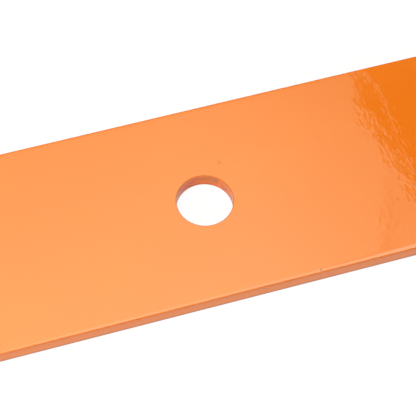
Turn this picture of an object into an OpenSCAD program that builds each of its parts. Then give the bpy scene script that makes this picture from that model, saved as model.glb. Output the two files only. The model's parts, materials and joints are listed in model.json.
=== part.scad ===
// Rotary mower blade: one flat steel bar, sheared to width, punched for the spindle bolt,
// pressed up into a lift wing behind each tip, ground to a cutting edge ahead of it, and painted.
// Millimetres. The underside lies on z = 0, the middle of the hole is the origin, and X runs
// from tip to tip. It cuts when it turns clockwise seen from above, so at the +X tip the
// cutting edge is on the -Y side and the wing on the +Y side, and the other tip is the
// same half turned round the spindle, but for the strips that the shear rolled over.

/* [Bar] */
// Length from tip to tip
blade_length = 520; // [440:1:640]
// Width between the two sheared edges
blade_width = 63.5; // [56:0.5:76]
// Thickness of the bar
thickness = 5; // [4:0.1:7]
// Rounding of the four corners, seen from above
corner_radius = 4; // [2:0.5:8]

/* [Spindle hole] */
// Diameter of the hole for the spindle bolt
hole_diameter = 16.67; // [12:0.01:26]
// Rounding of the hole's upper and lower rim
hole_rim_radius = 0.2; // [0.1:0.1:1]

/* [Sheared edges] */
// Width of the strip that the shear rolled over beside one arris of each long edge
roll_width = 1.5; // [1:0.1:3]
// How far that strip has fallen where it meets the arris
roll_drop = 0.15; // [0.1:0.05:0.5]
// Radius of every arris
arris_radius = 0.4; // [0.2:0.1:0.8]

/* [Cutting edges] */
// Length of each ground cutting edge
cut_length = 115; // [80:1:150]
// Angle between the ground face and the underside
cut_angle = 30; // [22:1:40]
// Thickness left standing along the cutting edge
cut_land = 0.6; // [0.3:0.1:1.2]
// Radius of the wheel that ground the inner end of the face
wheel_radius = 16; // [8:1:30]

/* [Lift wings] */
// Distance from the tip to where the wing begins to rise
wing_length = 140; // [110:1:170]
// Distance over which the wing rises to its full angle
wing_ramp = 60; // [30:1:90]
// Width of the strip along the trailing edge that is turned up
wing_width = 26; // [18:0.5:30]
// Angle to which the wing is turned up
wing_angle = 38; // [20:1:45]
// Radius of the bend on its upper side
bend_radius = 14; // [8:0.5:20]

/* [Hidden] */
// How far each cutter runs past the faces that it opens
overrun = 1;
// Flats that stand for one arc: arris, rolled strip, bend, ramp and corner
arris_steps = 4;
roll_steps = 4;
bend_steps = 8;
ramp_steps = 10;
corner_steps = 6;
// Steps of a full circle
$fn = 96;

half_length = blade_length / 2;
half_width = blade_width / 2;
hole_radius = hole_diameter / 2;

// The rolled strip is an arc that leaves the top face level and ends at this slope
roll_radius = (roll_width * roll_width + roll_drop * roll_drop) / (2 * roll_drop);
roll_slope = asin(roll_width / roll_radius);
// Heights and widths of the edge's section, from the side face inwards
arris_centre_z = thickness - roll_drop - arris_radius * cos(roll_slope);
arris_inset = arris_radius * (1 - sin(roll_slope));
edge_inset = arris_inset + roll_width;

// The bend keeps its length at half thickness
bend_axis_z = thickness + bend_radius;
neutral_radius = bend_radius + thickness / 2;
bend_line_y = half_width - wing_width;
bend_strip = min(arc_length(wing_angle), wing_width - edge_inset);
ramp_start_x = half_length - wing_length;

// Length along the neutral line of a bend of a given angle
function arc_length(angle) = neutral_radius * angle * PI / 180;
// Rises from 0 to 1 with level ends
function ease(share) = share * share * (3 - 2 * share);

// Section of a sheared edge as [inset from the edge, height], from the underside to the top.
// The shear rolls the top over along the -Y edge, where its upper knife came down
rolled_edge = concat(
    [for (i = [0 : arris_steps]) let (a = 90 * i / arris_steps)
        [arris_radius * (1 - sin(a)), arris_radius * (1 - cos(a))]],
    [for (i = [0 : arris_steps]) let (a = 90 - (90 - roll_slope) * i / arris_steps)
        [arris_radius * (1 - sin(a)), arris_centre_z + arris_radius * cos(a)]],
    [for (i = [1 : roll_steps]) let (a = roll_slope * (1 - i / roll_steps))
        [edge_inset - roll_radius * sin(a), thickness - roll_radius * (1 - cos(a))]]
);
// Along the +Y edge the lower knife rolled the underside, so the section is upside down
turned_edge = [for (i = [len(rolled_edge) - 1 : -1 : 0])
    [rolled_edge[i][0], thickness - rolled_edge[i][1]]];

// How far an arris has eaten into the height at a distance inside the tip
function eaten_at(inset) =
    inset >= arris_radius ? 0
    : arris_radius - sqrt(pow(arris_radius, 2) - pow(arris_radius - inset, 2));

// Moves a point of the flat bar to its place after the wing is turned up to an angle
function formed(y, z, angle) =
    let (past = y - bend_line_y, arm = bend_axis_z - z, strip = arc_length(angle))
    past <= 0 || angle == 0 ? [y, z]
    : past < strip
    ? let (a = angle * past / strip) [bend_line_y + arm * sin(a), bend_axis_z - arm * cos(a)]
    : [bend_line_y + arm * sin(angle) + (past - strip) * cos(angle),
       bend_axis_z - arm * cos(angle) + (past - strip) * sin(angle)];

// Section of the flat bar as a ring: down the leading edge, along the underside to the
// trailing edge, up it, and back along the top
function flat_ring(side_y, leading, trailing) = concat(
    [for (i = [len(leading) - 1 : -1 : 0]) [leading[i][0] - side_y, leading[i][1]]],
    [for (i = [0 : bend_steps]) [bend_line_y + bend_strip * i / bend_steps, 0]],
    [for (p = trailing) [side_y - p[0], p[1]]],
    [for (i = [bend_steps : -1 : 0]) [bend_line_y + bend_strip * i / bend_steps, thickness]]
);

// The same ring at a station along the bar, formed to an angle and rounded off at the tip
function station(x, angle, leading, trailing) =
    let (
        inset = half_length - x,
        corner = max(0, corner_radius - inset),
        side_y = half_width - corner_radius + sqrt(pow(corner_radius, 2) - pow(corner, 2)),
        low = eaten_at(inset),
        share = 1 - 2 * low / thickness
    )
    [for (p = flat_ring(side_y, leading, trailing))
        let (q = formed(p[0], low + share * p[1], angle)) [x, q[0], q[1]]];

// One end of the bar, pressed: a loft through stations from the start of the ramp to the tip
module pressed_end(leading, trailing) {
    stations = concat(
        [for (i = [0 : ramp_steps]) let (share = i / ramp_steps)
            station(ramp_start_x + wing_ramp * share, wing_angle * ease(share), leading, trailing)],
        [for (i = [0 : corner_steps]) let (a = 90 * i / corner_steps)
            station(half_length - corner_radius * (1 - sin(a)), wing_angle, leading, trailing)]
    );
    edge = len(leading);
    ring = 2 * (edge + bend_steps + 1);
    last = (len(stations) - 1) * ring;
    // An end is filled by strips that join the underside to the top, in the ring's own order
    fill = concat(
        [[for (i = [0 : edge - 1]) i]],
        [[edge - 1, edge, ring - 1, 0]],
        [for (i = [0 : bend_steps - 1]) [edge + i, edge + i + 1, ring - 2 - i, ring - 1 - i]],
        [[edge + bend_steps, edge + bend_steps + 1, ring - bend_steps - 2, ring - bend_steps - 1]],
        [[for (i = [0 : edge - 1]) edge + bend_steps + 1 + i]]
    );
    polyhedron(
        points = [for (s = stations) each s],
        faces = concat(
            fill,
            [for (f = fill) [for (i = [len(f) - 1 : -1 : 0]) last + f[i]]],
            [for (s = [0 : len(stations) - 2], i = [0 : ring - 1])
                let (a = s * ring + i, b = s * ring + (i + 1) % ring)
                each [[a + ring, b + ring, b], [a + ring, b, a]]]
        ),
        convexity = 4
    );
}

// The flat stretch between the two pressed ends
module flat_bar() {
    rotate([90, 0, 90])
        linear_extrude(height = 2 * ramp_start_x, center = true)
            polygon(flat_ring(half_width, rolled_edge, turned_edge));
}

// What the wheel takes off above one cutting edge, with the round run-out at its inner end
module ground_away() {
    reach = thickness / sin(cut_angle) + overrun;
    translate([half_length - cut_length, -half_width, cut_land])
        rotate([cut_angle, 0, 0]) {
            translate([wheel_radius, -reach, 0])
                cube([cut_length - wheel_radius + overrun, 2 * reach, reach]);
            translate([wheel_radius, 0, 0])
                cylinder(r = wheel_radius, h = reach);
        }
}

// The punched hole, with the rounding of one rim turned about its axis
module spindle_hole() {
    translate([0, 0, -overrun])
        cylinder(r = hole_radius, h = thickness + 2 * overrun);
    hole_rim();
    translate([0, 0, thickness])
        mirror([0, 0, 1])
            hole_rim();
}

// The rounded rim at the underside
module hole_rim() {
    rotate_extrude()
        difference() {
            translate([0, -overrun])
                square([hole_radius + hole_rim_radius, overrun + hole_rim_radius]);
            translate([hole_radius + hole_rim_radius, hole_rim_radius])
                circle(r = hole_rim_radius);
        }
}

module blade() {
    color([0.96, 0.5, 0.17])
        difference() {
            union() {
                flat_bar();
                pressed_end(rolled_edge, turned_edge);
                rotate([0, 0, 180])
                    pressed_end(turned_edge, rolled_edge);
            }
            for (turn = [0, 180])
                rotate([0, 0, turn])
                    ground_away();
            spindle_hole();
        }
}

blade();
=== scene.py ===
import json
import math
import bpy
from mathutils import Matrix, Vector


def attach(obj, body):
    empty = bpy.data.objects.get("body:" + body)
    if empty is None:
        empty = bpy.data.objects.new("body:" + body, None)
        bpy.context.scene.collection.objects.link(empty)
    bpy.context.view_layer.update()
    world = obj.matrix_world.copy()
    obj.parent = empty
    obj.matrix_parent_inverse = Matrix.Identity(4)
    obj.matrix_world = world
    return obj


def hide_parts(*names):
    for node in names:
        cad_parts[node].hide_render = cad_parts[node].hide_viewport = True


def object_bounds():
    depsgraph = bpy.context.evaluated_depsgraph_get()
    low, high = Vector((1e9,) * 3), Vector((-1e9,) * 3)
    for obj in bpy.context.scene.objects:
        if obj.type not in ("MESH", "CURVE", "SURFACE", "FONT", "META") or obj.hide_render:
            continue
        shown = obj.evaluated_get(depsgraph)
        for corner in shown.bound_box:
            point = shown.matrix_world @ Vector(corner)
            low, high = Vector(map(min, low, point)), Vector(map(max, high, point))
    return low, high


bl_info = {
    "name": "Rotary mower blade",
    "version": (1, 0, 0),
    "blender": (4, 5, 0),
    "location": "3D View > Sidebar > Mower blade",
    "description": "Models and paints a rotary mower blade and lights it on a pale floor",
    "category": "Object",
}

from typing import NamedTuple

import bmesh
import bpy
from bpy.props import FloatProperty, FloatVectorProperty, IntProperty, PointerProperty
from mathutils import Quaternion, Vector

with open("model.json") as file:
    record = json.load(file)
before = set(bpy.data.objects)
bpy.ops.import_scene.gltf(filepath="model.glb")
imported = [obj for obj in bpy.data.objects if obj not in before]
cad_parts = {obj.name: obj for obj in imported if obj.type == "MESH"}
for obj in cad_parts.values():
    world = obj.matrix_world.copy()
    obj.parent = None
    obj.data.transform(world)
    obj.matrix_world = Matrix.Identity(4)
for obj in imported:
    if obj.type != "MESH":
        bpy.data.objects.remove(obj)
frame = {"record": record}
CAD_LOW, CAD_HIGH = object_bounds()

NODE = "blade"
MM = 0.001
MICRON = 0.000001
# Two places closer than this are the same place
SAME = 1e-7
# An edge or a normal whose Z part is larger than this points up or down
UPWARD = 0.9
# How far the cutters run past the faces that they open
OVERRUN = 1 * MM
WHEEL_SIDES = 96
# An edge that turns by more than this stays a corner in the shading
SHARP = math.radians(24)
WHITE = (1.0, 1.0, 1.0, 1.0)


def mount(name):
    """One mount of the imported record, by its name"""
    return next(entry for entry in frame["record"]["mounts"] if entry["name"] == name)


HOLE_RADIUS = mount("spindle_hole")["dims"]["r_mm"] * MM
THICKNESS = mount("spindle_face")["pos_m"][2]

# Places and sizes of the dust nibs in the upper face, and of the one dark speck
NIBS = (
    ((7.7 * MM, 11.3 * MM, THICKNESS), 0.85 * MM),
    ((38.7 * MM, 11.2 * MM, THICKNESS), 0.4 * MM),
    ((54.5 * MM, -14.9 * MM, THICKNESS), 0.6 * MM),
)
SPECK_PLACE = (25.6 * MM, -31.0 * MM, THICKNESS)
SPECK_SIZE = 0.65 * MM


def length(name, description, default, **more):
    """A property that holds a length in metres"""
    return FloatProperty(name=name, description=description, default=default, min=0.0,
                         unit="LENGTH", subtype="DISTANCE", precision=5, **more)


def place(name, description, default):
    """A property that holds a point in metres"""
    return FloatVectorProperty(name=name, description=description, default=default, size=3,
                               unit="LENGTH", subtype="TRANSLATION", precision=5)


def angle(name, description, degrees):
    """A property that holds an angle, with its default in degrees"""
    return FloatProperty(name=name, description=description, default=math.radians(degrees),
                         unit="ROTATION", subtype="ANGLE")


def colour(name, description, default):
    """A property that holds a linear colour"""
    return FloatVectorProperty(name=name, description=description, default=default, size=3,
                               min=0.0, max=1.0, subtype="COLOR")


def share(name, description, default, top=1.0):
    """A property that holds a plain factor"""
    return FloatProperty(name=name, description=description, default=default, min=0.0, max=top,
                         subtype="FACTOR")


def level(name, description, default, top=20.0):
    """A property that holds the brightness or power of a lamp"""
    return FloatProperty(name=name, description=description, default=default, min=0.0, max=top)


class BladeSizes(bpy.types.PropertyGroup):
    """Sizes of the blade, the same as its solid has"""
    length: length("Length", "From tip to tip", CAD_HIGH.x - CAD_LOW.x)
    width: length("Width", "Between the two sheared edges", 63.5 * MM)
    thickness: length("Thickness", "Thickness of the bar", THICKNESS)
    corner_radius: length("Corner radius", "Rounding of the four corners", 4 * MM)
    hole_radius: length("Hole radius", "Radius of the spindle hole", HOLE_RADIUS)
    hole_rim: length("Hole rim", "Rounding of the hole's two rims", 0.2 * MM)
    arris: length("Arris", "Radius of every arris", 0.4 * MM)
    roll_width: length("Roll width", "Strip that the shear rolled over", 1.5 * MM)
    roll_drop: length("Roll drop", "How far that strip has fallen at its edge", 0.15 * MM)
    cut_length: length("Cut length", "Length of each ground cutting edge", 115 * MM)
    cut_angle: angle("Cut angle", "Between the ground face and the underside", 30)
    cut_land: length("Cut land", "Thickness left along the cutting edge", 0.6 * MM)
    wheel_radius: length("Wheel radius", "Round run-out of the ground face", 16 * MM)
    wing_length: length("Wing length", "From the tip to where the wing begins", 140 * MM)
    wing_ramp: length("Wing ramp", "Distance over which the wing rises", 60 * MM)
    wing_width: length("Wing width", "Width of the strip that is turned up", 26 * MM)
    wing_angle: angle("Wing angle", "Angle to which the wing is turned up", 38)
    bend_radius: length("Bend radius", "Radius of the bend on its upper side", 14 * MM)
    hole_sides: IntProperty(name="Hole sides", description="Flats round the hole", default=192,
                            min=48, max=512)
    corner_flats: IntProperty(name="Corner flats", description="Flats in each corner", default=12,
                              min=4, max=32)
    arris_flats: IntProperty(name="Arris flats", description="Flats in each arris and rim",
                             default=6, min=3, max=16)
    roll_flats: IntProperty(name="Roll flats", description="Flats across the rolled strip",
                            default=8, min=3, max=16)
    bend_flats: IntProperty(name="Bend flats", description="Flats round the bend", default=14,
                            min=4, max=32)
    ramp_flats: IntProperty(name="Ramp flats", description="Stations along the ramp", default=28,
                            min=4, max=60)
    wing_flats: IntProperty(name="Wing flats", description="Strips across the flat of the wing",
                            default=5, min=1, max=16)


class BladeFinish(bpy.types.PropertyGroup):
    """Colours and surface of the enamel"""
    orange: colour("Orange", "Enamel on the flat faces", (0.845, 0.189, 0.0072))
    orange_deep: colour("Deep orange", "Enamel where it lies a little thicker",
                        (0.828, 0.178, 0.0062))
    # Partly thin enamel and partly painted shade: the arrises are given a darker colour than the
    # faces
    arris: colour("Arris", "Where the enamel pulled thin round an arris", (0.68, 0.160, 0.019))
    # Painted contact shadow: the dark colour that the lower arrises and the foot of the sheared
    # edges take
    painted_contact_shade: colour("Lower arris", "Scale that shows through there", (0.20, 0.06, 0.02))
    edge: colour("Edge", "Thin enamel on the sheared edges", (0.765, 0.190, 0.0225))
    edge_dull: colour("Dull edge", "Where the shear's marks show through", (0.72, 0.178, 0.0245))
    # Partly thinner enamel and partly painted shade: the hole's wall is lighter on its -X side and
    # darker on its +X side
    wall: colour("Wall", "Thin enamel in the punched hole, on its -X side", (0.94, 0.170, 0.003))
    wall_thin_and_shade: colour("Thin wall", "Thinner enamel on its +X side", (0.48, 0.135, 0.010))
    wall_dull: colour("Dull wall", "Scale that shows through there", (0.40, 0.090, 0.014))
    nib: colour("Nib", "Dust that the enamel ran over", (0.70, 0.135, 0.002))
    nib_height: length("Nib height", "Height of a dust nib", 5 * MICRON)
    speck: colour("Speck", "Soot that stuck to the wet enamel", (0.22, 0.07, 0.010))
    peel_size: length("Peel size", "Spacing of the orange peel", 0.9 * MM)
    peel_height: length("Peel height", "Height of the orange peel", 7.5 * MICRON)
    swell_size: length("Swell size", "Spacing of the slow waves in the enamel", 3 * MM)
    swell_height: length("Swell height", "Height of the slow waves", 12 * MICRON)
    gloss: share("Gloss roughness", "Roughness of the clear top of the enamel", 0.01)
    body: share("Body roughness", "Roughness of the enamel under its clear top", 0.02)
    under_shine: colour("Body shine", "Tint of the shine of that enamel", (0.45, 1.0, 1.0))


class Studio(bpy.types.PropertyGroup):
    """Camera, lamps and floor"""
    lens: FloatProperty(name="Lens", description="Focal length in millimetres", default=139.3,
                        min=10.0, max=400.0)
    aim: place("Aim", "Point in the middle of the picture", (0.16 * MM, -2.68 * MM, THICKNESS))
    distance: length("Distance", "From that point to the camera", 469.6 * MM)
    azimuth: angle("Azimuth", "Camera's turn about the spindle axis", -18.19)
    elevation: angle("Elevation", "Camera's height above the horizon", 60.34)
    roll: angle("Roll", "Camera's turn about its own axis", 2.09)
    panel_left: place("Panel corner", "Left near corner of the overhead panel", (-0.6, -0.25, 0.6))
    panel_right: place("Panel far corner", "Right far corner of the overhead panel",
                       (0.30, 0.55, 0.6))
    panel_level: level("Panel level", "Brightness of the panel's far part", 2.4)
    panel_boost: level("Panel boost", "How much brighter the panel's near part is", 1.45)
    veil: share("Veil", "Light past the panel's edge at its far end", 0.18)
    panel_colour: colour("Panel colour", "Colour of the panel's far part", (0.94, 1.0, 0.70))
    panel_near: colour("Near colour", "Colour of the panel's near part", (0.94, 0.88, 0.74))
    strip_place: place("Strip place", "Middle of the thin strip beside the panel",
                       (0.1197, 0.085, 0.18))
    strip_width: length("Strip width", "Width of that strip", 1.1 * MM)
    strip_length: length("Strip length", "Length of that strip", 0.108)
    strip_level: level("Strip level", "Brightness of that strip", 1.0)
    fill_place: place("Fill place", "Middle of the lamp at the front", (-0.45, -0.45, 0.25))
    fill_size: length("Fill size", "Side of the lamp at the front", 0.3)
    fill_power: level("Fill power", "Power of the lamp at the front in watts", 3.2, 50.0)
    sky_top: share("Sky overhead", "Light of the surroundings overhead", 0.08)
    sky_low: share("Sky at the horizon", "Light of the surroundings low down", 0.45)
    sky_gloss: share("Sky in the gloss", "What the gloss shows of the horizon", 0.9)
    floor_glow: share("Floor glow", "White that the floor shows in shadow too", 0.92)
    floor_light: share("Floor light", "How much of that white lights the blade", 0.52)
    floor_size: length("Floor size", "Side of the floor", 8.0)


def leave_edit():
    """Back to object mode with nothing selected"""
    if bpy.context.object and bpy.context.object.mode != "OBJECT":
        bpy.ops.object.mode_set(mode="OBJECT")
    bpy.ops.object.select_all(action="DESELECT")


def begin(name):
    """Names the primitive just added, puts its origin at the world's and opens it for editing"""
    piece = bpy.context.active_object
    piece.name = piece.data.name = name
    bpy.ops.object.transform_apply(location=True, rotation=True, scale=True)
    bpy.ops.object.mode_set(mode="EDIT")
    return piece


def pick(kind, test):
    """Selects just the faces or edges that pass a test, in edit mode; raises if there are none"""
    bpy.ops.mesh.select_mode(type=kind)
    bpy.ops.mesh.select_all(action="DESELECT")
    mesh = bpy.context.edit_object.data
    edit = bmesh.from_edit_mesh(mesh)
    chosen = [part for part in (edit.faces if kind == "FACE" else edit.edges) if test(part)]
    if not chosen:
        raise RuntimeError(f"nothing to select on {bpy.context.edit_object.name}")
    for part in chosen:
        part.select_set(True)
    edit.select_flush_mode()
    bmesh.update_edit_mesh(mesh)


def steps_along(section):
    """The insets and rises that lead from each point of a section to the next"""
    return [(b[0] - a[0], b[1] - a[1]) for a, b in zip(section, section[1:])]


class Roll:
    """The strips that the shear rolled over: the top's on the -Y edge, the underside's on +Y"""

    def __init__(self, sizes):
        self.thickness = sizes.thickness
        self.width = sizes.roll_width
        self.drop = sizes.roll_drop
        self.radius = (self.width ** 2 + self.drop ** 2) / (2 * self.drop)
        self.slope = math.asin(self.width / self.radius)
        self.start = sizes.width / 2 - self.width - sizes.arris * (1 - math.sin(self.slope))

    def fall(self, y):
        """How far the strip has fallen at a distance from the bar's middle line"""
        past = y - self.start
        if past <= 0:
            return 0.0
        if past < self.width:
            return self.radius - math.sqrt(self.radius ** 2 - past ** 2)
        return self.drop + (past - self.width) * math.tan(self.slope)

    def move(self, point):
        """The point's place after shearing; the opposite face stays flat"""
        full = self.thickness
        z = point.z * (1 - self.fall(-point.y) / full)
        z = full - (full - z) * (1 - self.fall(point.y) / full)
        return Vector((point.x, point.y, z))


def quarter_round(radius, flats):
    """Inset and depth round a quarter circle, from its side to its end"""
    turns = [math.pi / 2 * i / flats for i in range(flats + 1)]
    return [(radius * (1 - math.cos(a)), radius * math.sin(a)) for a in turns]


def ease(part):
    """Rises from 0 to 1 with level ends"""
    return part * part * (3 - 2 * part)


class Bend:
    """The pressed wing of one end: where a point of the flat bar goes when the wing is turned up"""

    def __init__(self, sizes):
        self.start_x = sizes.length / 2 - sizes.wing_length
        self.ramp = sizes.wing_ramp
        self.full = sizes.wing_angle
        self.line_y = sizes.width / 2 - sizes.wing_width
        self.axis_z = sizes.thickness + sizes.bend_radius
        self.neutral = sizes.bend_radius + sizes.thickness / 2
        self.edge_y = sizes.width / 2 - sizes.corner_radius

    def angle_at(self, x):
        """Angle of the wing at a distance from the spindle"""
        return self.full * ease(min(1.0, max(0.0, (x - self.start_x) / self.ramp)))

    def move(self, point):
        """The point's place after pressing; the other end is the same, half a turn on"""
        turn = 1.0 if point.x > 0 else -1.0
        turned = self.angle_at(turn * point.x)
        past = turn * point.y - self.line_y
        if past <= 0 or turned == 0:
            return point.copy()
        arm = self.axis_z - point.z
        strip = self.neutral * turned
        a = min(past / self.neutral, turned)
        flat = max(0.0, past - strip)
        y = self.line_y + arm * math.sin(a) + flat * math.cos(a)
        z = self.axis_z - arm * math.cos(a) + flat * math.sin(a)
        return Vector((point.x, turn * y, z))


def slice_across(beyond, point, normal):
    """Cuts the faces that pass a test along a plane"""
    pick("FACE", beyond)
    bpy.ops.mesh.bisect(plane_co=point, plane_no=normal, use_fill=False, threshold=SAME)


def shear_bar(sizes):
    """The bar with its rounded corners, arrises and rolled strips"""
    leave_edit()
    bpy.ops.mesh.primitive_cube_add(size=1.0)
    bar = begin("blade_painted")
    side_height = sizes.thickness - 2 * sizes.arris
    bpy.ops.transform.resize(value=(sizes.length, sizes.width, side_height),
                             center_override=(0, 0, 0))
    bpy.ops.transform.translate(value=(0, 0, sizes.thickness / 2))
    pick("EDGE", lambda e: abs((e.verts[0].co - e.verts[1].co).normalized().z) > UPWARD)
    bpy.ops.mesh.bevel(offset=sizes.corner_radius, offset_type="OFFSET", affect="EDGES",
                       segments=sizes.corner_flats, profile=0.5)
    for side in (1, -1):
        pick("FACE", lambda f: side * f.normal.z > UPWARD)
        for inset, rise in steps_along(quarter_round(sizes.arris, sizes.arris_flats)):
            bpy.ops.mesh.inset(thickness=inset, depth=rise, use_even_offset=True)
    roll = Roll(sizes)
    for side in (1, -1):
        for i in range(sizes.roll_flats + 1):
            y = side * (roll.start + roll.width * i / sizes.roll_flats)
            slice_across(lambda f: True, (0, y, 0), (0, 1, 0))
    bpy.ops.object.mode_set(mode="OBJECT")
    return bar


def press_wings(bar, sizes):
    """Cuts each end into strips, then rolls the long edges and turns the wings up"""
    roll, bend = Roll(sizes), Bend(sizes)
    bpy.context.view_layer.objects.active = bar
    bpy.ops.object.mode_set(mode="EDIT")
    for turn in (1.0, -1.0):
        slice_across(lambda f: True, (turn * bend.start_x, 0, 0), (1, 0, 0))
        for i in range(1, sizes.ramp_flats + 1):
            x = bend.start_x + bend.ramp * i / sizes.ramp_flats
            slice_across(lambda f: turn * f.calc_center_median().x > bend.start_x,
                         (turn * x, 0, 0), (1, 0, 0))
        strip = bend.neutral * bend.full
        ys = [bend.line_y + strip * i / sizes.bend_flats for i in range(sizes.bend_flats + 1)]
        ys += [ys[-1] + (bend.edge_y - ys[-1]) * i / sizes.wing_flats
               for i in range(1, sizes.wing_flats)]
        for y in ys:
            slice_across(lambda f: turn * f.calc_center_median().x > bend.start_x,
                         (0, turn * y, 0), (0, 1, 0))
    # The bend tool needs a window, so each vertex is put in its own place
    bpy.ops.object.mode_set(mode="OBJECT")
    for vertex in bar.data.vertices:
        vertex.co = bend.move(roll.move(vertex.co))


def wheel_cutter(sizes):
    """What the grinding wheel takes off above one cutting edge"""
    reach = sizes.thickness / math.sin(sizes.cut_angle) + OVERRUN
    leave_edit()
    bpy.ops.mesh.primitive_cylinder_add(vertices=WHEEL_SIDES, radius=sizes.wheel_radius,
                                        depth=reach,
                                        location=(sizes.wheel_radius, 0, reach / 2))
    cutter = begin("wheel_cutter")
    # The outboard half is drawn out past the tip
    pick("EDGE", lambda e: all(v.co.x > sizes.wheel_radius + SAME for v in e.verts))
    bpy.ops.transform.translate(value=(sizes.cut_length - sizes.wheel_radius, 0, 0))
    bpy.ops.object.mode_set(mode="OBJECT")
    return cutter


def hole_cutter(sizes):
    """What the punch takes out, with the rounding of both rims"""
    rim = sizes.hole_rim
    leave_edit()
    bpy.ops.mesh.primitive_cylinder_add(vertices=sizes.hole_sides, radius=sizes.hole_radius,
                                        depth=sizes.thickness - 2 * rim,
                                        location=(0, 0, sizes.thickness / 2))
    cutter = begin("hole_cutter")
    for side in (1, -1):
        pick("FACE", lambda f: side * f.normal.z > UPWARD)
        radius = sizes.hole_radius
        for flare, rise in steps_along(quarter_round(rim, sizes.arris_flats)):
            bpy.ops.mesh.extrude_region_move(
                TRANSFORM_OT_translate={"value": (0, 0, side * rise)})
            wider = (radius + flare) / radius
            bpy.ops.transform.resize(value=(wider, wider, 1), center_override=(0, 0, 0))
            radius += flare
        bpy.ops.mesh.extrude_region_move(TRANSFORM_OT_translate={"value": (0, 0, side * OVERRUN)})
    bpy.ops.object.mode_set(mode="OBJECT")
    return cutter


def cut_away(piece, cutter):
    """Takes the cutter's shape out of the piece and removes the cutter"""
    leave_edit()
    piece.select_set(True)
    bpy.context.view_layer.objects.active = piece
    modifier = piece.modifiers.new("cut_away", "BOOLEAN")
    modifier.operation = "DIFFERENCE"
    modifier.solver = "EXACT"
    modifier.material_mode = "INDEX"
    modifier.object = cutter
    bpy.ops.object.modifier_apply(modifier=modifier.name)
    bpy.data.objects.remove(cutter)


def copy_turned(piece, turn_x, turn_z, shift):
    """A copy of a piece with its own mesh, turned and moved"""
    leave_edit()
    piece.select_set(True)
    bpy.context.view_layer.objects.active = piece
    bpy.ops.object.duplicate(linked=False)
    copy = bpy.context.active_object
    copy.rotation_euler = (turn_x, 0, turn_z)
    copy.location = shift
    bpy.ops.object.transform_apply(location=True, rotation=True, scale=True)
    return copy


def finish_surface(piece):
    """Smooth shading that keeps true corners, with the wide faces left flat"""
    leave_edit()
    piece.select_set(True)
    bpy.context.view_layer.objects.active = piece
    bpy.ops.object.shade_smooth_by_angle(angle=SHARP)
    modifier = piece.modifiers.new("flat_faces", "WEIGHTED_NORMAL")
    modifier.mode = "FACE_AREA"
    modifier.keep_sharp = True
    bpy.ops.object.modifier_apply(modifier=modifier.name)


class Fade(NamedTuple):
    """A smooth passage from one value, at the start of a range, to another at its end"""
    start: float
    end: float
    before: float = 0.0
    after: float = 1.0


class Nodes:
    """Adds nodes to a tree from left to right and links them"""
    # Spacing on the page: across, down, and the rows before it starts at the top again
    COLUMN, ROW, ROWS = 200, -40, 5

    def __init__(self, tree):
        self.tree = tree
        self.count = 0

    def add(self, kind, settings=None, **inputs):
        """A node with its settings and inputs; an input given as a socket is linked"""
        node = self.tree.nodes.new(kind)
        self.count += 1
        node.location = (self.count * self.COLUMN, self.count % self.ROWS * self.ROW)
        for key, value in (settings or {}).items():
            setattr(node, key, value)
        for key, value in inputs.items():
            self.feed(node.inputs[key.replace("_", " ")], value)
        return node

    def feed(self, socket, value):
        """Sets or links one input"""
        if isinstance(value, bpy.types.NodeSocket):
            self.tree.links.new(value, socket)
        else:
            socket.default_value = value

    def math(self, operation, a, b=0.0, c=0.0):
        """The result of a Math node"""
        node = self.add("ShaderNodeMath", {"operation": operation})
        for socket, value in zip(node.inputs, (a, b, c)):
            self.feed(socket, value)
        return node.outputs["Value"]

    def product(self, first, *others):
        """All the values multiplied, from left to right"""
        for other in others:
            first = self.math("MULTIPLY", first, other)
        return first

    def blend(self, factor, a, b):
        """The colour between two colours"""
        node = self.add("ShaderNodeMix", {"data_type": "RGBA"})
        self.feed(node.inputs["Factor"], factor)
        colours = [s for s in node.inputs if s.type == "RGBA"]
        self.feed(colours[0], a)
        self.feed(colours[1], b)
        return next(s for s in node.outputs if s.type == "RGBA")

    def fade(self, value, start, end, before=0.0, after=1.0, kind="SMOOTHSTEP"):
        """A value taken through a passage as a Fade has it, and held inside it"""
        node = self.add("ShaderNodeMapRange", {"interpolation_type": kind})
        for key, number in (("Value", value), ("From Min", start), ("From Max", end),
                            ("To Min", before), ("To Max", after)):
            self.feed(node.inputs[key], number)
        return node.outputs["Result"]

    def share_of(self, value, start, end):
        """A value's share of a range, held inside it"""
        return self.fade(value, start, end, kind="LINEAR")

    def line(self, value, offset, slope):
        """The height of a straight line at a value"""
        return self.math("MULTIPLY_ADD", value, slope, offset)

    def parts(self, where):
        """The X, Y and Z of a place"""
        return self.add("ShaderNodeSeparateXYZ", Vector=where).outputs

    def drawn_out(self, where, *scale):
        """A place on which a pattern is drawn out along each axis with a scale below one"""
        return self.add("ShaderNodeMapping", {"vector_type": "POINT"}, Vector=where,
                        Scale=scale).outputs["Vector"]

    def noise(self, where, scale, detail=2.0):
        """The value of a noise with a feature size of one over its scale"""
        node = self.add("ShaderNodeTexNoise", Vector=where, Scale=scale, Detail=detail,
                        Roughness=0.5)
        return node.outputs["Fac"]


def rgba(value):
    """A colour with its alpha"""
    return (value[0], value[1], value[2], 1.0)


def blank_material(name):
    """A material with an empty tree, and what adds its nodes"""
    material = bpy.data.materials.new(name)
    material.use_nodes = True
    material.node_tree.nodes.clear()
    return material, Nodes(material.node_tree)


FLOAT, VECTOR, COLOUR = "NodeSocketFloat", "NodeSocketVector", "NodeSocketColor"
# Place of a group's output node, past all its others
GROUP_END = (3000, 0)
# The orange peel's scale across the bar
PEEL_DRAWN = 0.6
# The noise seldom passes the first number, and the second is the width of the passage
# between the two shades of a drift
NOISE_TOP, DRIFT_WIDTH, DRIFT_DETAIL = 0.8, 0.3, 3.0


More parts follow.
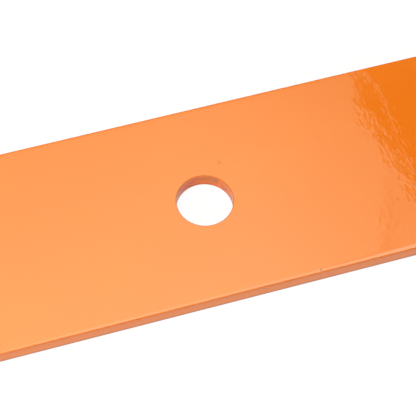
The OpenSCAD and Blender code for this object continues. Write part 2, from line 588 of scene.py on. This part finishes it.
def new_group(name, inputs, outputs):
    """An empty shader node group with named sockets, and its inner input and output nodes"""
    tree = bpy.data.node_groups.new(name, "ShaderNodeTree")
    for label, kind, default in inputs:
        socket = tree.interface.new_socket(name=label, in_out="INPUT", socket_type=kind)
        if default is not None:
            socket.default_value = default
    for label, kind in outputs:
        tree.interface.new_socket(name=label, in_out="OUTPUT", socket_type=kind)
    nodes = Nodes(tree)
    source = nodes.add("NodeGroupInput")
    target = tree.nodes.new("NodeGroupOutput")
    target.location = GROUP_END
    return tree, nodes, source.outputs, target.inputs


def orange_peel_group():
    """Height of the enamel's orange peel, as a share of its full height"""
    tree, nodes, given, result = new_group(
        "orange_peel",
        [("Vector", VECTOR, None), ("Peel Size", FLOAT, 1.5 * MM), ("Swell Size", FLOAT, 9 * MM),
         ("Swell Share", FLOAT, 1.0)],
        [("Height", FLOAT)])
    # Enamel runs a little as it dries, so the peel is drawn out across the bar
    drawn = nodes.drawn_out(given["Vector"], 1.0, PEEL_DRAWN, 1.0)
    peel = nodes.noise(drawn, nodes.math("DIVIDE", 1.0, given["Peel Size"]), detail=0.0)
    swell = nodes.noise(given["Vector"], nodes.math("DIVIDE", 1.0, given["Swell Size"]),
                        detail=0.0)
    nodes.feed(result["Height"], nodes.math("MULTIPLY_ADD", swell, given["Swell Share"], peel))
    return tree


def drift_group():
    """Slow drift between two shades of the enamel"""
    tree, nodes, given, result = new_group(
        "shade_drift",
        [("Vector", VECTOR, None), ("Patch Size", FLOAT, 30 * MM), ("Light", COLOUR, None),
         ("Deep", COLOUR, None), ("Deep Share", FLOAT, 0.5)],
        [("Colour", COLOUR), ("Mask", FLOAT)])
    noise = nodes.noise(given["Vector"], nodes.math("DIVIDE", 1.0, given["Patch Size"]),
                        detail=DRIFT_DETAIL)
    low = nodes.math("SUBTRACT", NOISE_TOP, given["Deep Share"])
    mask = nodes.fade(noise, low, nodes.math("ADD", low, DRIFT_WIDTH))
    nodes.feed(result["Colour"], nodes.blend(mask, given["Light"], given["Deep"]))
    nodes.feed(result["Mask"], mask)
    return tree


def nib_group():
    """A mask round one place, for a dust nib or a speck in the enamel"""
    tree, nodes, given, result = new_group(
        "dust_nib",
        [("Vector", VECTOR, None), ("Place", VECTOR, None), ("Nib Size", FLOAT, 0.2 * MM)],
        [("Mask", FLOAT)])
    off = nodes.add("ShaderNodeVectorMath", {"operation": "DISTANCE"})
    nodes.feed(off.inputs[0], given["Vector"])
    nodes.feed(off.inputs[1], given["Place"])
    nodes.feed(result["Mask"], nodes.fade(off.outputs["Value"], 0.0, given["Nib Size"], 1.0, 0.0))
    return tree


# How far the clear top pulled back from the arris of the +Y edge, and what is left of it there
PULLED_BACK, TOP_LEFT = 1 * MM, 0.25
# What a nib takes off the clear top
NIB_BARE = 0.8
# How much rougher the deeper shade is on the wide faces and on the ground ones
FACE_ROUGHER, GROUND_ROUGHER = 0.005, 0.08
# Strength of the painted contact shadow on the arrises, by height
ARRIS_CONTACT_SHADE = Fade(0.0, 1 * MM, before=0.75, after=0.0)
# On the sheared edges, by height: a darker band below the upper arris, partly thin enamel and
# partly painted shade, and a painted contact shadow above the lower one
EDGE_THIN_AND_SHADE = Fade(THICKNESS - 1.6 * MM, THICKNESS - 0.9 * MM, after=0.85)
EDGE_CONTACT_SHADE = Fade(0.4 * MM, 1.5 * MM, before=0.5, after=0.0)
# In the hole the colour darkens from the first to the second of these places across it, and is
# lighter again far right and low down; this is partly thinner enamel and partly painted shade
WALL_SHADE_START, WALL_SHADE_END = -0.5 * HOLE_RADIUS, 0.6 * HOLE_RADIUS
WALL_RIGHT = Fade(0.64 * HOLE_RADIUS, 0.76 * HOLE_RADIUS, before=1.0, after=0.45)
WALL_LOW = Fade(1.4 * MM, 3.0 * MM, before=0.45, after=1.0)
# Share of the scale that shows there, by the depth of the punch's marks
WALL_WORN = Fade(0.47, 0.62, after=0.6)
# Spacing of the shear's, the punch's and the wheel's marks, and their height beside the peel's
SHEAR_MARKS, SHEAR_DEPTH = 0.9 * MM, 2.0
PUNCH_MARKS, PUNCH_DEPTH = 0.65 * MM, 3.0
WHEEL_LINES, WHEEL_DEPTH = 0.35 * MM, 0.8


class Enamel:
    """The painted finishes, which share their node groups"""

    def __init__(self, sizes, finish):
        self.sizes = sizes
        self.finish = finish
        self.peel = orange_peel_group()
        self.drift = drift_group()
        self.nib = nib_group()

    def start(self, name):
        """A material, what adds its nodes, and the Object coordinates"""
        material, nodes = blank_material(name)
        return material, nodes, nodes.add("ShaderNodeTexCoord").outputs["Object"]

    def place(self, nodes, group, where, **inputs):
        """One of the shared groups with its own values"""
        return nodes.add("ShaderNodeGroup", {"node_tree": group}, Vector=where, **inputs).outputs

    def shades(self, nodes, where, light, deep, patch, deep_share):
        """Drift between two shades in patches of a size: its colour and its mask"""
        drift = self.place(nodes, self.drift, where, Patch_Size=patch, Light=light, Deep=deep,
                           Deep_Share=deep_share)
        return drift["Colour"], drift["Mask"]

    def skin(self, nodes, where, swell_share):
        """Height of the orange peel, with a share of the slow waves"""
        look = self.finish
        return self.place(nodes, self.peel, where, Peel_Size=look.peel_size,
                          Swell_Size=look.swell_size, Swell_Share=swell_share)["Height"]

    def dull(self, nodes, deeper, light_rough, deep_rough):
        """Roughness from the light to the deep shade"""
        return nodes.fade(deeper, 0.0, 1.0, light_rough, deep_rough)

    def close(self, material, nodes, colour, rough, height, relief, clear, gloss,
              shine=0.5, shine_tint=(1.0, 1.0, 1.0)):
        """The shader at the end of a material; relief is what a height of one stands for, and
        clear and gloss are the weight and the roughness of the clear top"""
        bump = nodes.add("ShaderNodeBump", Strength=1.0, Distance=relief, Height=height)
        shader = nodes.add("ShaderNodeBsdfPrincipled", Base_Color=colour, Roughness=rough,
                           Normal=bump.outputs["Normal"], Coat_Normal=bump.outputs["Normal"],
                           Coat_Weight=clear, Coat_Roughness=gloss, Specular_IOR_Level=shine,
                           Specular_Tint=rgba(shine_tint))
        nodes.add("ShaderNodeOutputMaterial", Surface=shader.outputs["BSDF"])
        material.diffuse_color = rgba(self.finish.orange)
        return material

    def face(self):
        """Full gloss enamel on the flat faces and the rolled strips"""
        look = self.finish
        material, nodes, where = self.start("enamel_face")
        tint, deeper = self.shades(nodes, where, rgba(look.orange), rgba(look.orange_deep),
                                   patch=45 * MM, deep_share=0.5)
        height = self.skin(nodes, where, swell_share=look.swell_height / look.peel_height)
        arris = self.sizes.width / 2 - self.sizes.arris
        clear = nodes.fade(nodes.parts(where)["Y"], arris - PULLED_BACK, arris, 1.0, TOP_LEFT)
        for spot, size in NIBS:
            nib = self.place(nodes, self.nib, where, Place=spot, Nib_Size=size)["Mask"]
            tint = nodes.blend(nib, tint, rgba(look.nib))
            clear = nodes.math("MULTIPLY_ADD", nib, -NIB_BARE, clear)
            height = nodes.math("MULTIPLY_ADD", nib, look.nib_height / look.peel_height, height)
        speck = self.place(nodes, self.nib, where, Place=SPECK_PLACE, Nib_Size=SPECK_SIZE)
        tint = nodes.blend(speck["Mask"], tint, rgba(look.speck))
        rough = self.dull(nodes, deeper, look.body, look.body + FACE_ROUGHER)
        return self.close(material, nodes, tint, rough, height, relief=look.peel_height,
                          clear=clear, gloss=look.gloss, shine_tint=look.under_shine)

    def arris(self):
        """Enamel round the arrises, darker than the faces as thin enamel and as painted shade, with
        a painted contact shadow on the lower ones
        """
        look = self.finish
        material, nodes, where = self.start("enamel_arris")
        tint, deeper = self.shades(nodes, where, rgba(look.arris), rgba(look.edge_dull),
                                   patch=3 * MM, deep_share=0.3)
        # Painted contact shadow: the lower arrises darken towards the floor
        scale = nodes.fade(nodes.parts(where)["Z"], *ARRIS_CONTACT_SHADE)
        tint = nodes.blend(scale, tint, rgba(look.painted_contact_shade))
        height = self.skin(nodes, where, swell_share=0.5)
        rough = self.dull(nodes, deeper, light_rough=0.3, deep_rough=0.4)
        return self.close(material, nodes, tint, rough, height, relief=look.peel_height,
                          clear=0.2, gloss=0.15)

    def sheared_edge(self):
        """Thinner, duller enamel over the shear's upright marks"""
        look = self.finish
        material, nodes, where = self.start("enamel_sheared_edge")
        tint, deeper = self.shades(nodes, where, rgba(look.edge), rgba(look.edge_dull),
                                   patch=3.5 * MM, deep_share=0.3)
        up = nodes.parts(where)["Z"]
        # Painted shade, partly thin enamel: a darker band below the upper arris
        tint = nodes.blend(nodes.fade(up, *EDGE_THIN_AND_SHADE), tint, rgba(look.arris))
        # Painted contact shadow along the foot of the sheared edge
        tint = nodes.blend(nodes.fade(up, *EDGE_CONTACT_SHADE), tint, rgba(look.painted_contact_shade))
        marks = nodes.noise(nodes.drawn_out(where, 1.0, 1.0, 0.16), 1 / SHEAR_MARKS)
        height = nodes.math("MULTIPLY_ADD", marks, SHEAR_DEPTH,
                            self.skin(nodes, where, swell_share=0.3))
        rough = self.dull(nodes, deeper, light_rough=0.37, deep_rough=0.43)
        return self.close(material, nodes, tint, rough, height, relief=6 * MICRON,
                          clear=0.1, gloss=0.12)

    def punched_wall(self):
        """Thin enamel in the hole, over the marks that the punch leaves round it"""
        look = self.finish
        material, nodes, where = self.start("enamel_punched_wall")
        axes, round_it = nodes.parts(where), nodes.drawn_out(where, 0.3, 0.3, 1.0)
        # Darker right of the middle: partly thinner enamel where the punch tore, partly painted
        # shade
        thin = nodes.product(nodes.share_of(axes["X"], WALL_SHADE_START, WALL_SHADE_END),
                             nodes.fade(axes["X"], *WALL_RIGHT),
                             nodes.fade(axes["Z"], *WALL_LOW))
        tint = nodes.blend(thin, rgba(look.wall), rgba(look.wall_thin_and_shade))
        tint, deeper = self.shades(nodes, round_it, tint, rgba(look.wall_dull),
                                   patch=1.1 * MM, deep_share=0.22)
        marks = nodes.noise(round_it, 1 / PUNCH_MARKS)
        tint = nodes.blend(nodes.fade(marks, *WALL_WORN), tint, rgba(look.wall_dull))
        height = nodes.math("MULTIPLY_ADD", marks, PUNCH_DEPTH,
                            self.skin(nodes, where, swell_share=0.5))
        rough = self.dull(nodes, deeper, light_rough=0.32, deep_rough=0.52)
        return self.close(material, nodes, tint, rough, height, relief=8 * MICRON,
                          clear=0.0, gloss=0.15, shine=0.35)

    def ground_face(self):
        """Enamel over the wheel's fine lines on the cutting edges"""
        look = self.finish
        material, nodes, where = self.start("enamel_ground_face")
        tint, deeper = self.shades(nodes, where, rgba(look.orange), rgba(look.orange_deep),
                                   patch=12 * MM, deep_share=0.5)
        lines = nodes.noise(nodes.drawn_out(where, 1.0, 0.04, 0.04), 1 / WHEEL_LINES)
        height = nodes.math("MULTIPLY_ADD", lines, WHEEL_DEPTH,
                            self.skin(nodes, where, swell_share=1.0))
        rough = self.dull(nodes, deeper, look.body, look.body + GROUND_ROUGHER)
        return self.close(material, nodes, tint, rough, height, relief=3 * MICRON,
                          clear=0.9, gloss=0.05)


# Places of the finishes in every piece's list of materials
FACE, ARRIS, EDGE, WALL, GROUND = range(5)
# A face that leans less than this from upright belongs to a side, and one that leans more
# than the other number belongs to a wide face
UPRIGHT, LEVEL = 0.1, 0.99


def paint(piece, finishes, choose):
    """Gives a piece the finishes and each of its faces the one that a test chooses"""
    piece.data.materials.clear()
    for material in finishes:
        piece.data.materials.append(material)
    for polygon in piece.data.polygons:
        polygon.material_index = choose(polygon)


class MOWERBLADE_OT_blade(bpy.types.Operator):
    """Models the blade, paints it and puts it in the solid's place"""
    bl_idname = "mowerblade.blade"
    bl_label = "Blade"

    def execute(self, context):
        sizes = context.scene.mowerblade_sizes
        enamel = Enamel(sizes, context.scene.mowerblade_finish)
        finishes = [enamel.face(), enamel.arris(), enamel.sheared_edge(), enamel.punched_wall(),
                    enamel.ground_face()]
        blade = shear_bar(sizes)
        paint(blade, finishes, lambda f: EDGE if abs(f.normal.z) < UPRIGHT
              else ARRIS if abs(f.normal.z) < LEVEL else FACE)
        press_wings(blade, sizes)
        wheel = wheel_cutter(sizes)
        paint(wheel, finishes, lambda f: GROUND)
        inner = Vector((sizes.length / 2 - sizes.cut_length, -sizes.width / 2, sizes.cut_land))
        for turn in (1, -1):
            shift = (turn * inner.x, turn * inner.y, inner.z)
            cutter = copy_turned(wheel, sizes.cut_angle, 0 if turn == 1 else math.pi, shift)
            cut_away(blade, cutter)
        bpy.data.objects.remove(wheel)
        punch = hole_cutter(sizes)
        paint(punch, finishes, lambda f: WALL if abs(f.normal.z) < UPRIGHT else FACE)
        cut_away(blade, punch)
        finish_surface(blade)
        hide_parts(NODE)
        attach(blade, "root")
        return {"FINISHED"}


# The floor lies this far below the blade, and falls away along its rim, a part of its side
FLOOR_GAP, FLOOR_RIM = 0.1 * MM, 1 / 20
FLOOR_GREY = 0.1


def lay_floor(studio):
    """A pale floor that keeps the blade's shadow and can be looked through from below"""
    leave_edit()
    bpy.ops.mesh.primitive_plane_add(size=studio.floor_size, location=(0, 0, -FLOOR_GAP))
    floor = begin("floor")
    rim = studio.floor_size * FLOOR_RIM
    bpy.ops.mesh.select_all(action="SELECT")
    bpy.ops.mesh.inset(thickness=rim, depth=0.0)
    pick("EDGE", lambda e: e.is_boundary)
    bpy.ops.transform.translate(value=(0, 0, -rim / 2))
    bpy.ops.object.mode_set(mode="OBJECT")
    material, nodes = blank_material("pale_floor")
    lit = nodes.add("ShaderNodeBsdfDiffuse", Color=rgba((FLOOR_GREY,) * 3))
    rays = nodes.add("ShaderNodeLightPath").outputs
    seen = nodes.math("MAXIMUM", rays["Is Camera Ray"], rays["Is Glossy Ray"])
    strength = nodes.fade(seen, 0.0, 1.0, studio.floor_glow * studio.floor_light,
                          studio.floor_glow)
    glow = nodes.add("ShaderNodeEmission", Color=WHITE, Strength=strength)
    both = nodes.add("ShaderNodeAddShader")
    nodes.feed(both.inputs[0], lit.outputs["BSDF"])
    nodes.feed(both.inputs[1], glow.outputs["Emission"])
    clear = nodes.add("ShaderNodeBsdfTransparent")
    side = nodes.add("ShaderNodeNewGeometry").outputs["Backfacing"]
    sided = nodes.add("ShaderNodeMixShader")
    nodes.feed(sided.inputs[0], side)
    nodes.feed(sided.inputs[1], both.outputs["Shader"])
    nodes.feed(sided.inputs[2], clear.outputs["BSDF"])
    nodes.add("ShaderNodeOutputMaterial", Surface=sided.outputs["Shader"])
    floor.data.materials.append(material)


# Numbers of the overhead panel in metres: X runs to the right along it, and Y away from the
# camera. Its right edge is drawn in on both sides of a bend, each side a line across Y
CLOTH_NEAR = {"offset": 0.3046, "slope": -0.18}
CLOTH_FAR = {"offset": 0.0850, "slope": 0.40}
CLOTH_BEND = 0.004
# Its light from outside that edge inwards ends in part sharply and in part softly
EDGE_SHARP = Fade(-0.0006, 0.0006, after=0.36)
EDGE_SOFT = Fade(-0.018, 0.009, after=0.64)
# It dims to the right, and away from the camera from the first place to the second
DIM_RIGHT = Fade(0.10, 0.27, before=1.0, after=0.62)
DIM_AWAY = (0.25, 0.72)
# A second layer of cloth over its near right corner begins along a line that leans by this
# slope, and takes this share of the light
LAYER_SLOPE = -0.40
LAYER = Fade(0.1120, 0.1140, after=0.11)
# The layer's seam, by the distance from its middle
SEAM_MIDDLE = 0.1180
SEAM = Fade(0.0018, 0.0030, before=0.27, after=0.0)
# Both take less at the far end; the numbers are negative because they take light away
LAYER_REACH = Fade(0.28, 0.31, before=-1.0, after=-0.25)
# The line between the near and the far part leans at its right and at its left: between
# which two X, and how far
LEAN_RIGHT, LEAN_RIGHT_BY = (0.175, 0.245), -0.10
LEAN_LEFT, LEAN_LEFT_BY = (0.0, -0.06), 0.05
# The near part ends over this stretch, and the far part begins over one that widens
NEAR_END = (0.06, 0.125)
WIDEN, WIDEN_BY = (0.14, 0.20), 0.02
# Where the light past its edge rises towards the far end
VEIL_RISE = (0.36, 0.42)
PANEL_CUTS = 7


def panel_edge(nodes, axes):
    """Share of the panel's light inside its drawn-in right edge"""
    curve = nodes.math("SMOOTH_MAX", nodes.line(axes["Y"], **CLOTH_NEAR),
                       nodes.line(axes["Y"], **CLOTH_FAR), CLOTH_BEND)
    inside = nodes.math("SUBTRACT", curve, axes["X"])
    return nodes.math("ADD", nodes.fade(inside, *EDGE_SHARP), nodes.fade(inside, *EDGE_SOFT))


def panel_layer(nodes, axes):
    """Share of the light that the second layer of cloth and its seam let through"""
    lean = nodes.math("MULTIPLY_ADD", axes["Y"], LAYER_SLOPE, axes["X"])
    layer = nodes.fade(lean, *LAYER)
    aside = nodes.math("ABSOLUTE", nodes.math("SUBTRACT", lean, SEAM_MIDDLE))
    taken = nodes.math("ADD", layer, nodes.fade(aside, *SEAM))
    return nodes.math("MULTIPLY_ADD", taken, nodes.fade(axes["Y"], *LAYER_REACH), 1.0)


def hang_panel(studio):
    """The wide lamp overhead, with its right edge drawn in: a bright near part, and a far part
    that dims to the right and away from the camera"""
    left, right = Vector(studio.panel_left), Vector(studio.panel_right)
    leave_edit()
    bpy.ops.mesh.primitive_plane_add(size=1.0)
    panel = begin("overhead_panel")
    spread, middle = right - left, (left + right) / 2
    bpy.ops.transform.resize(value=(spread.x, spread.y, 1), center_override=(0, 0, 0))
    bpy.ops.transform.translate(value=middle)
    bpy.ops.mesh.flip_normals()
    bpy.ops.mesh.subdivide(number_cuts=PANEL_CUTS)
    bpy.ops.object.mode_set(mode="OBJECT")
    material, nodes = blank_material("panel_light")
    axes = nodes.parts(nodes.add("ShaderNodeTexCoord").outputs["Object"])
    leaning = nodes.math("MULTIPLY", nodes.share_of(axes["X"], *LEAN_RIGHT), LEAN_RIGHT_BY)
    rising = nodes.math("MULTIPLY", nodes.share_of(axes["X"], *LEAN_LEFT), LEAN_LEFT_BY)
    slanted = nodes.math("ADD", nodes.math("ADD", leaning, rising), axes["Y"])
    near_part = nodes.fade(slanted, *NEAR_END, studio.panel_boost, 0.0)
    far_start = nodes.line(nodes.share_of(axes["X"], *WIDEN), NEAR_END[1], WIDEN_BY)
    far_share = nodes.fade(slanted, NEAR_END[0], far_start)
    away = nodes.math("SUBTRACT", 1.0, nodes.share_of(axes["Y"], *DIM_AWAY))
    far_part = nodes.product(nodes.fade(axes["X"], *DIM_RIGHT), panel_layer(nodes, axes), away,
                             far_share)
    lit = nodes.product(panel_edge(nodes, axes), nodes.math("ADD", far_part, near_part),
                        studio.panel_level)
    # Past its edge the panel is as dim as the surroundings, and less so at its far end
    veil = nodes.fade(axes["Y"], *VEIL_RISE, studio.sky_top, studio.veil)
    tint = nodes.blend(far_share, rgba(studio.panel_near), rgba(studio.panel_colour))
    glow = nodes.add("ShaderNodeEmission", Color=tint,
                     Strength=nodes.math("MAXIMUM", lit, veil))
    nodes.add("ShaderNodeOutputMaterial", Surface=glow.outputs["Emission"])
    panel.data.materials.append(material)
    panel.visible_camera = False


# The strip's far end bends to the left from this Y on, by this much per square metre
STRIP_BEND_START, STRIP_BEND = 0.1295, 54
STRIP_CUTS = 31


def hang_strip(studio):
    """The thin faint strip beside the panel, hung lower, with its far end drawn in"""
    leave_edit()
    bpy.ops.mesh.primitive_plane_add(size=1.0)
    strip = begin("thin_strip")
    bpy.ops.transform.resize(value=(studio.strip_width, studio.strip_length, 1),
                             center_override=(0, 0, 0))
    bpy.ops.transform.translate(value=studio.strip_place)
    bpy.ops.mesh.flip_normals()
    bpy.ops.mesh.subdivide(number_cuts=STRIP_CUTS)
    bpy.ops.object.mode_set(mode="OBJECT")
    for vertex in strip.data.vertices:
        past = max(0.0, vertex.co.y - STRIP_BEND_START)
        vertex.co.x -= STRIP_BEND * past * past
    material, nodes = blank_material("strip_light")
    glow = nodes.add("ShaderNodeEmission", Color=rgba(studio.panel_colour),
                     Strength=studio.strip_level)
    nodes.add("ShaderNodeOutputMaterial", Surface=glow.outputs["Emission"])
    strip.data.materials.append(material)
    strip.visible_camera = False


def set_fill(studio):
    """A soft lamp at the front that lights the near edge"""
    leave_edit()
    stand = Vector(studio.fill_place)
    bpy.ops.object.light_add(type="AREA", location=stand)
    lamp = bpy.context.active_object
    lamp.name = "front_fill"
    lamp.rotation_mode = "QUATERNION"
    lamp.rotation_quaternion = (-stand).to_track_quat("-Z", "Y")
    lamp.data.shape = "SQUARE"
    lamp.data.size = studio.fill_size
    lamp.data.energy = studio.fill_power
    # It lights the enamel but makes no white patch in the gloss from any side
    lamp.visible_camera = lamp.visible_glossy = False


# Heights of a direction at which the surroundings are as dim as overhead, and at which the
# gloss no longer shows the horizon's white
SKY_DIM, HORIZON_TOP = 0.7, 0.35


def light_surroundings(scene, studio):
    """White to the camera; to the blade, dim overhead and brighter towards the horizon,
    which its gloss shows nearly as white as the camera sees it"""
    world = bpy.data.worlds.new("surroundings")
    scene.world = world
    world.use_nodes = True
    world.node_tree.nodes.clear()
    nodes = Nodes(world.node_tree)
    up = nodes.parts(nodes.add("ShaderNodeTexCoord").outputs["Generated"])["Z"]
    level = nodes.fade(up, 0.0, SKY_DIM, studio.sky_low, studio.sky_top)
    rays = nodes.add("ShaderNodeLightPath").outputs
    horizon = nodes.fade(up, 0.0, HORIZON_TOP, studio.sky_gloss, 0.0)
    shown = nodes.math("MULTIPLY", horizon, rays["Is Glossy Ray"])
    seen = nodes.math("MAXIMUM", shown, rays["Is Camera Ray"])
    sky = nodes.add("ShaderNodeBackground", Color=WHITE,
                    Strength=nodes.math("MAXIMUM", level, seen))
    nodes.add("ShaderNodeOutputWorld", Surface=sky.outputs["Background"])


# The camera's sensor in millimetres, and the nearest thing that it sees in metres
SENSOR_WIDTH, NEAREST = 36.0, 0.01


def set_camera(scene, studio):
    """The camera at the photograph's place, turn and lens"""
    leave_edit()
    a, e = studio.azimuth, studio.elevation
    back = Vector((math.sin(a) * math.cos(e), -math.cos(a) * math.cos(e), math.sin(e)))
    bpy.ops.object.camera_add(location=Vector(studio.aim) + back * studio.distance)
    camera = bpy.context.active_object
    camera.name = "camera"
    camera.rotation_mode = "QUATERNION"
    camera.rotation_quaternion = (
        (-back).to_track_quat("-Z", "Y") @ Quaternion((0, 0, 1), studio.roll))
    camera.data.sensor_width = SENSOR_WIDTH
    camera.data.lens = studio.lens
    camera.data.clip_start = NEAREST
    scene.camera = camera


class MOWERBLADE_OT_stage(bpy.types.Operator):
    """Lays the floor, hangs the lamps, lights the surroundings and sets the camera"""
    bl_idname = "mowerblade.stage"
    bl_label = "Stage"

    def execute(self, context):
        studio = context.scene.mowerblade_studio
        lay_floor(studio)
        hang_panel(studio)
        hang_strip(studio)
        set_fill(studio)
        light_surroundings(context.scene, studio)
        set_camera(context.scene, studio)
        context.scene.view_settings.view_transform = "Standard"
        return {"FINISHED"}


class MOWERBLADE_PT_panel(bpy.types.Panel):
    """Lists the pieces and their sizes and colours"""
    bl_idname = "MOWERBLADE_PT_panel"
    bl_label = "Mower blade"
    bl_space_type = "VIEW_3D"
    bl_region_type = "UI"
    bl_category = "Mower blade"

    def draw(self, context):
        scene = context.scene
        for operator, group in (
            (MOWERBLADE_OT_blade, scene.mowerblade_sizes),
            (None, scene.mowerblade_finish),
            (MOWERBLADE_OT_stage, scene.mowerblade_studio),
        ):
            box = self.layout.box()
            for name in group.__annotations__:
                box.prop(group, name)
            if operator:
                box.operator(operator.bl_idname)


CLASSES = (BladeSizes, BladeFinish, Studio, MOWERBLADE_OT_blade, MOWERBLADE_OT_stage,
           MOWERBLADE_PT_panel)


def register():
    """Registers the classes and hangs their values on the scene"""
    for each in CLASSES:
        bpy.utils.register_class(each)
    bpy.types.Scene.mowerblade_sizes = PointerProperty(type=BladeSizes)
    bpy.types.Scene.mowerblade_finish = PointerProperty(type=BladeFinish)
    bpy.types.Scene.mowerblade_studio = PointerProperty(type=Studio)


def unregister():
    """Takes away what register adds"""
    del bpy.types.Scene.mowerblade_studio
    del bpy.types.Scene.mowerblade_finish
    del bpy.types.Scene.mowerblade_sizes
    for each in reversed(CLASSES):
        bpy.utils.unregister_class(each)


def main():
    """Builds the blade and its stage"""
    register()
    bpy.ops.mowerblade.blade()
    bpy.ops.mowerblade.stage()


if __name__ == "__main__":
    main()
